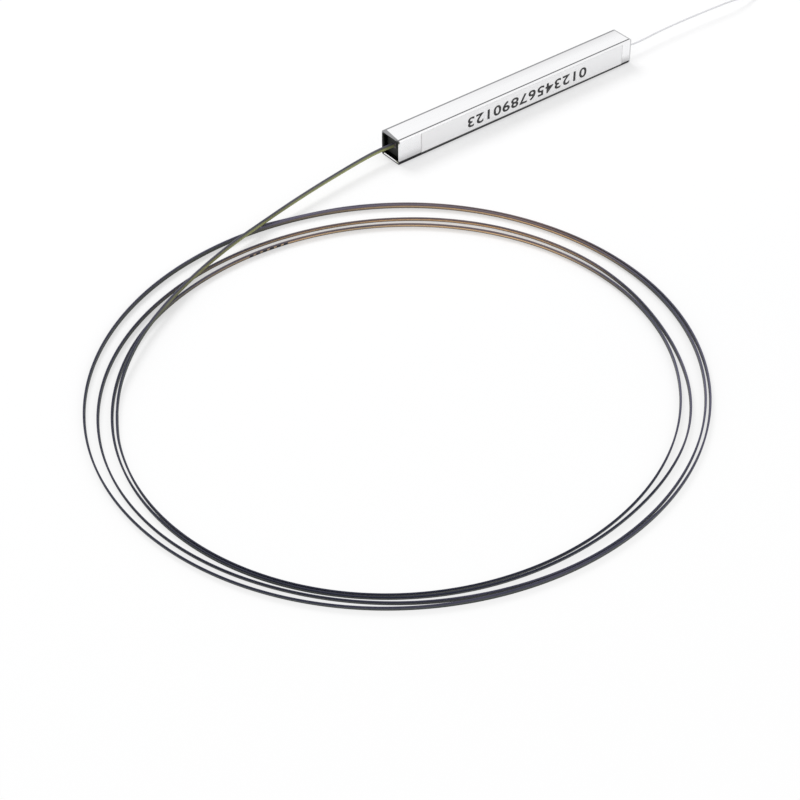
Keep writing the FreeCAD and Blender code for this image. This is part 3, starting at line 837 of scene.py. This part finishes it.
class SPLITTER_OT_fibre(bpy.types.Operator):
    """Lays the single clear fibre from the tube to its stored coil"""

    bl_idname = "splitter.fibre"
    bl_label = "Single fibre"

    def execute(self, context):
        look = context.scene.splitter_fibre
        piece = nurbs_route("fibre_cord", fibre_route(look.turns))
        piece.data.bevel_depth = look.diameter / 2
        piece.data.bevel_resolution = 2
        piece.data.resolution_u = 6
        piece.data.use_fill_caps = True
        piece.data.materials.append(coated_material("clear_coated_fibre", look.colour))
        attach(piece, "root")
        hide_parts("input_lead", "input_coil")
        return {"FINISHED"}


class SPLITTER_OT_digits(bpy.types.Operator):
    """Prints the plain digits on the film, upside down as the tube lies"""

    bl_idname = "splitter.digits"
    bl_label = "Printed digits"

    def execute(self, context):
        look = context.scene.splitter_tube
        deselect()
        bpy.ops.object.text_add()
        piece = context.object
        piece.name = "printed_digits"
        piece.data.body = look.digits
        piece.data.align_x = "CENTER"
        piece.data.align_y = "CENTER"
        piece.data.size = look.digit_height / CAP_SHARE
        piece.data.offset = look.digit_boldness
        piece.data.space_character = DIGIT_SPACING
        context.view_layer.update()
        bpy.ops.object.convert(target="MESH")
        piece = context.object
        low = [min(corner[i] for corner in piece.bound_box) for i in range(3)]
        high = [max(corner[i] for corner in piece.bound_box) for i in range(3)]
        middle = Vector([(a + b) / 2 for a, b in zip(low, high)])
        bpy.ops.object.mode_set(mode="EDIT")
        bpy.ops.mesh.select_all(action="SELECT")
        bpy.ops.mesh.extrude_region_move(TRANSFORM_OT_translate={"value": (0, 0, INK_THICKNESS)})
        bpy.ops.mesh.select_all(action="SELECT")
        bpy.ops.mesh.normals_make_consistent(inside=False)
        bpy.ops.object.mode_set(mode="OBJECT")
        stretch = look.digit_span / (high[0] - low[0])
        upside_down = Matrix(((-stretch, 0, 0), (0, 0, -1), (0, -1, 0))).to_4x4()
        centre = Vector((DIGITS_MIDDLE, FILM_LOW.y - INK_PROUD, TUBE_AXIS))
        piece.data.transform(
            Matrix.Translation(centre) @ upside_down @ Matrix.Translation(-middle))
        paint(piece, ink_material())
        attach(piece, "root")
        return {"FINISHED"}


def slot_of(node):
    """The record's material slot of a CAD node, from its imported material."""
    return node.material_slots[0].material.name.split(".")[0]


class SPLITTER_OT_finishes(bpy.types.Operator):
    """Gives the tube, its film, the sealant, the glass and the fibres their finishes"""

    bl_idname = "splitter.finishes"
    bl_label = "Finishes"

    def execute(self, context):
        tube = context.scene.splitter_tube
        ribbon = context.scene.splitter_ribbon
        finishes = {
            "steel": steel_material(tube.steel),
            "film": film_material(tube.film),
            "sealant": sealant_material(),
            "chip": glass_material("polished_chip", (0.35, 0.36, 0.42), 0.05),
            "array_glass": glass_material("array_glass", (0.84, 0.90, 0.91), 0.08),
            "clear_fibre": coated_material("clear_fibre_inside", (0.7, 0.7, 0.72)),
            "blue_fibre": coated_material("blue_fibre_coating", (0.03, 0.12, 0.5)),
            "orange_fibre": coated_material("orange_fibre_coating", (0.8, 0.25, 0.03)),
            "green_fibre": coated_material("green_fibre_coating", (0.05, 0.38, 0.1)),
            "brown_fibre": coated_material("brown_fibre_coating", (0.28, 0.14, 0.05)),
            "ribbon": coated_material("ribbon_inside", ribbon.blue, 0.35),
            "silicone": coated_material("silicone_bedding", (0.75, 0.75, 0.73), 0.5),
            "adhesive": coated_material("amber_epoxy", (0.80, 0.62, 0.30), 0.15),
        }
        for name, node in nodes.items():
            if node.type == "MESH" and not node.hide_render:
                slot = slot_of(node)
                if slot not in finishes:
                    raise ValueError(f"{name} has no finish")
                node.material_slots[0].material = finishes[slot]
        return {"FINISHED"}


def seen_straight(tree):
    """1 for what the camera sees, in gloss and through glass too, and 0 for light on the object."""
    light = tree.nodes.new("ShaderNodeLightPath")
    seen = math_node(
        tree, "MAXIMUM", light.outputs["Is Camera Ray"], light.outputs["Is Glossy Ray"])
    return math_node(tree, "MAXIMUM", seen, light.outputs["Is Transmission Ray"])


def floor_material(colour):
    """White floor that glows towards the camera, more on the open side, so that shadows stay deeper
    behind the turns, and fully at some distance from the object."""
    made, tree, shader = blank("white_floor")
    soft = noise(tree, place(tree, (6, 6, 6)), 2.0)
    tree.links.new(mix(tree, soft, colour, tint(colour, 0.985)), shader.inputs["Base Color"])
    shader.inputs["Roughness"].default_value = 0.9
    shader.inputs["Specular IOR Level"].default_value = 0.0
    spots = place(tree)
    x, y, _ = axes(tree, spots)
    depth = math_node(tree, "ADD", times(tree, x, VIEW_ALONG.x), times(tree, y, VIEW_ALONG.y))
    fallen = times(tree, rise(tree, depth, *GLOW_DEPTHS), GLOW_FALL)
    share = math_node(tree, "SUBTRACT", GLOW_MOST, fallen)
    distance = add(tree, "ShaderNodeVectorMath", operation="LENGTH")
    tree.links.new(spots, distance.inputs[0])
    away = rise(tree, distance.outputs["Value"], *GLOW_FULL)
    rest = math_node(tree, "SUBTRACT", 1.0, share)
    share = math_node(tree, "ADD", share, times(tree, away, rest))
    glow = add(tree, "ShaderNodeEmission", Strength=1.0)
    blend = tree.nodes.new("ShaderNodeMixShader")
    tree.links.new(times(tree, seen_straight(tree), share), blend.inputs["Fac"])
    tree.links.new(shader.outputs["BSDF"], blend.inputs[1])
    tree.links.new(glow.outputs["Emission"], blend.inputs[2])
    tree.links.new(blend.outputs["Shader"], tree.nodes["Material Output"].inputs["Surface"])
    return made


def white_world():
    """White surroundings, plain white where the camera sees them and dimmer as light."""
    world = bpy.data.worlds.new("white_studio")
    world.use_nodes = True
    tree = world.node_tree
    glow = times(tree, seen_straight(tree), WORLD_GLOW)
    background = tree.nodes["Background"]
    background.inputs["Color"].default_value = (1.0, 1.0, 1.0, 1.0)
    tree.links.new(math_node(tree, "ADD", glow, WORLD_LIGHT), background.inputs["Strength"])
    return world


def set_up(name, data, location):
    """Puts a lamp or camera at a place, turned to the view's target."""
    item = bpy.data.objects.new(name, data)
    item.location = location
    item.rotation_euler = (VIEW_TARGET - item.location).to_track_quat("-Z", "Y").to_euler()
    bpy.context.scene.collection.objects.link(item)
    return item


class SPLITTER_OT_stage(bpy.types.Operator):
    """Sets the white floor, the soft lights and the camera"""

    bl_idname = "splitter.stage"
    bl_label = "Floor, light and camera"

    def execute(self, context):
        look = context.scene.splitter_stage
        scene = context.scene
        deselect()
        bpy.ops.mesh.primitive_circle_add(
            vertices=look.floor_sides, radius=6.0, fill_type="NGON", location=(0, 0, 0))
        floor = context.object
        floor.name = "floor"
        paint(floor, floor_material(look.floor))
        scene.world = white_world()
        for name, across, away, up, size, share in LAMPS:
            lamp = bpy.data.lights.new(name, "AREA")
            lamp.shape = "DISK"
            lamp.size = size
            lamp.energy = look.key_power * share
            level = VIEW_TARGET + VIEW_RIGHT * across + VIEW_ALONG * away
            set_up(name, lamp, level + Vector((0, 0, up)))
        data = bpy.data.cameras.new("camera")
        data.lens = look.lens
        data.sensor_width = 36.0
        data.clip_start = 0.01
        data.clip_end = 20.0
        level = VIEW_TARGET - VIEW_ALONG * math.cos(VIEW_PITCH) * VIEW_DISTANCE
        scene.camera = set_up(
            "camera", data, level + Vector((0, 0, math.sin(VIEW_PITCH) * VIEW_DISTANCE)))
        scene.view_settings.view_transform = "Standard"
        return {"FINISHED"}


class SPLITTER_PT_panel(bpy.types.Panel):
    """Splitter's settings and steps in the sidebar"""

    bl_label = "Fibre splitter"
    bl_idname = "SPLITTER_PT_panel"
    bl_space_type = "VIEW_3D"
    bl_region_type = "UI"
    bl_category = "Splitter"

    def draw(self, context):
        layout = self.layout
        for group in GROUPS:
            settings = getattr(context.scene, group)
            box = layout.box()
            for key in settings.bl_rna.properties.keys():
                if key not in {"rna_type", "name"}:
                    box.prop(settings, key)
        for operator in OPERATORS:
            layout.operator(operator.bl_idname)


GROUPS = {
    "splitter_tube": TubeSettings,
    "splitter_ribbon": RibbonSettings,
    "splitter_fibre": FibreSettings,
    "splitter_stage": StageSettings,
}
OPERATORS = (
    SPLITTER_OT_finishes, SPLITTER_OT_digits, SPLITTER_OT_ribbon, SPLITTER_OT_fibre,
    SPLITTER_OT_stage)


def register():
    for item in (*GROUPS.values(), *OPERATORS, SPLITTER_PT_panel):
        bpy.utils.register_class(item)
    for name, group in GROUPS.items():
        setattr(bpy.types.Scene, name, PointerProperty(type=group))


def unregister():
    for name in GROUPS:
        delattr(bpy.types.Scene, name)
    for item in (SPLITTER_PT_panel, *reversed(OPERATORS), *reversed(GROUPS.values())):
        bpy.utils.unregister_class(item)


def main():
    register()
    bpy.ops.splitter.finishes()
    bpy.ops.splitter.digits()
    bpy.ops.splitter.ribbon()
    bpy.ops.splitter.fibre()
    bpy.ops.splitter.stage()


if __name__ == "__main__":
    main()
